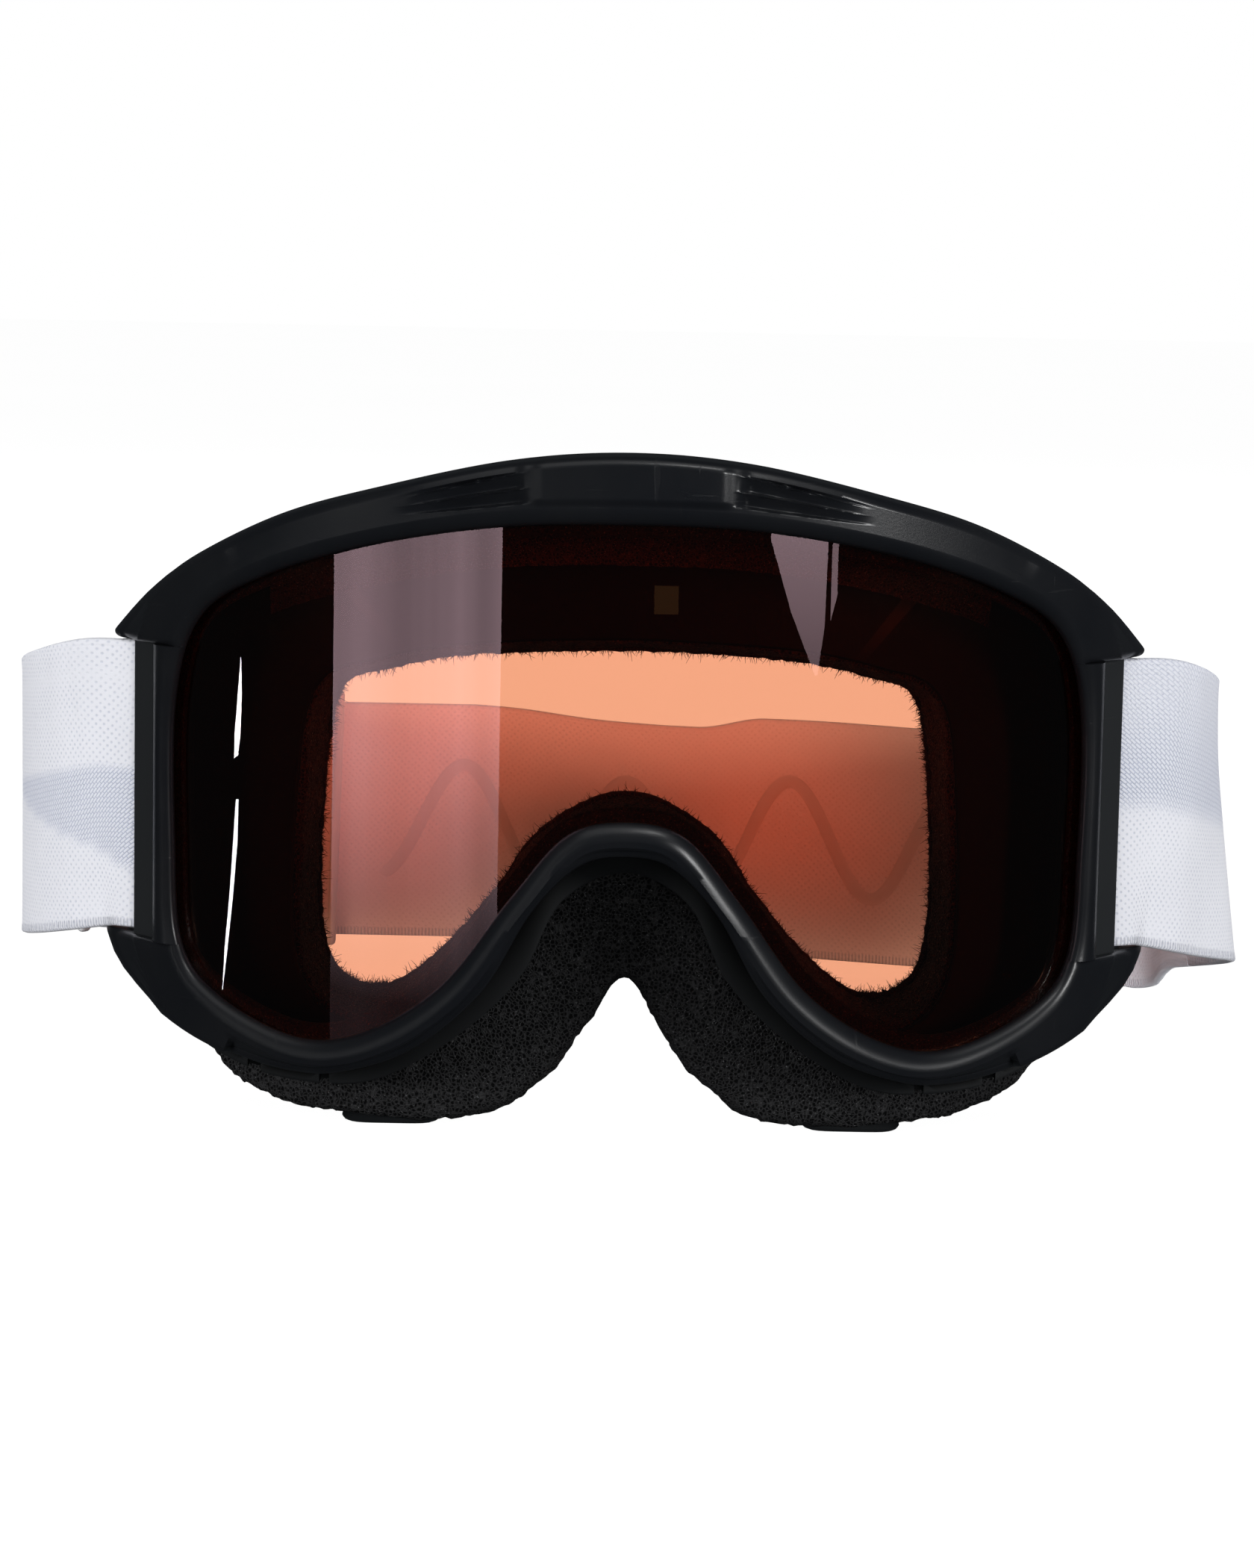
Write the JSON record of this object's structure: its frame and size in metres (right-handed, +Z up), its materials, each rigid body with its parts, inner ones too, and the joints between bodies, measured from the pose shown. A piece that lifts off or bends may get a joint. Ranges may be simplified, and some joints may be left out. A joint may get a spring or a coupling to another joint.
{
  "type": "ski goggles",
  "caption": "Ski goggles with a tinted cylindrical lens in a soft vented frame, face foam, and an adjustable elastic strap that swings and stretches.",
  "frame": {"origin": "middle of the footprint, on the surface the goggles stand on", "axes": "+X to the right as seen from the front, +Y from the lens to the rear of the strap, +Z up"},
  "size_m": [0.2036, 0.1924, 0.1094],
  "materials": {
    "frame_black": "satin",
    "frame_matte": "matte",
    "outer_lens_copper": "gloss",
    "inner_lens_clear": "gloss",
    "spacer_foam": "matte",
    "vent_foam": "matte",
    "face_foam": "matte",
    "face_fleece": "matte",
    "cheek_skin": "satin",
    "rod_plastic": "satin",
    "strap_elastic": "matte",
    "thread": "matte",
    "buckle_plastic": "satin",
    "silicone": "gloss"
  },
  "bodies": {
    "goggle_frame": {"front_rim": "frame_black", "frame_body": "frame_matte", "outer_lens": "outer_lens_copper", "lens_spacer": "spacer_foam", "inner_lens": "inner_lens_clear", "top_vent_foam": "vent_foam", "bottom_vent_foam_left": "vent_foam", "bottom_vent_foam_right": "vent_foam", "face_foam": "face_foam", "face_fleece": "face_fleece", "cheek_strip_left": "cheek_skin", "cheek_strip_right": "cheek_skin", "strap_rod_left": "rod_plastic", "strap_rod_right": "rod_plastic", "strap_root_left": "strap_elastic", "strap_root_right": "strap_elastic", "root_stitch_left": "thread", "root_stitch_right": "thread"},
    "strap_arms": {"strap_side_left": "strap_elastic", "strap_side_right": "strap_elastic"},
    "strap_rear": {"strap_long": "strap_elastic", "ring_eye": "strap_elastic", "ring_stitch": "thread", "strap_ring": "buckle_plastic", "grip_wave": "silicone", "strap_return": "strap_elastic"},
    "slider": {"slider": "buckle_plastic", "tail_eye": "strap_elastic", "tail_stitch": "thread"}
  },
  "joints": [
    {"name": "strap_swing", "type": "hinge", "parent": "goggle_frame", "child": "strap_arms", "pos_m": [0, -0.02341, 0.053], "axis": [1, 0, 0], "range_deg": [-20, 45]},
    {"name": "strap_stretch", "type": "slide", "parent": "strap_arms", "child": "strap_rear", "axis": [0, 1, 0], "range_m": [0, 0.06], "stiffness_N_per_m": 300},
    {"name": "slider_slide", "type": "slide", "parent": "strap_rear", "child": "slider", "axis": [1, 0, 0], "range_m": [-0.003, 0.03], "deforming": ["strap_return"]}
  ]
}
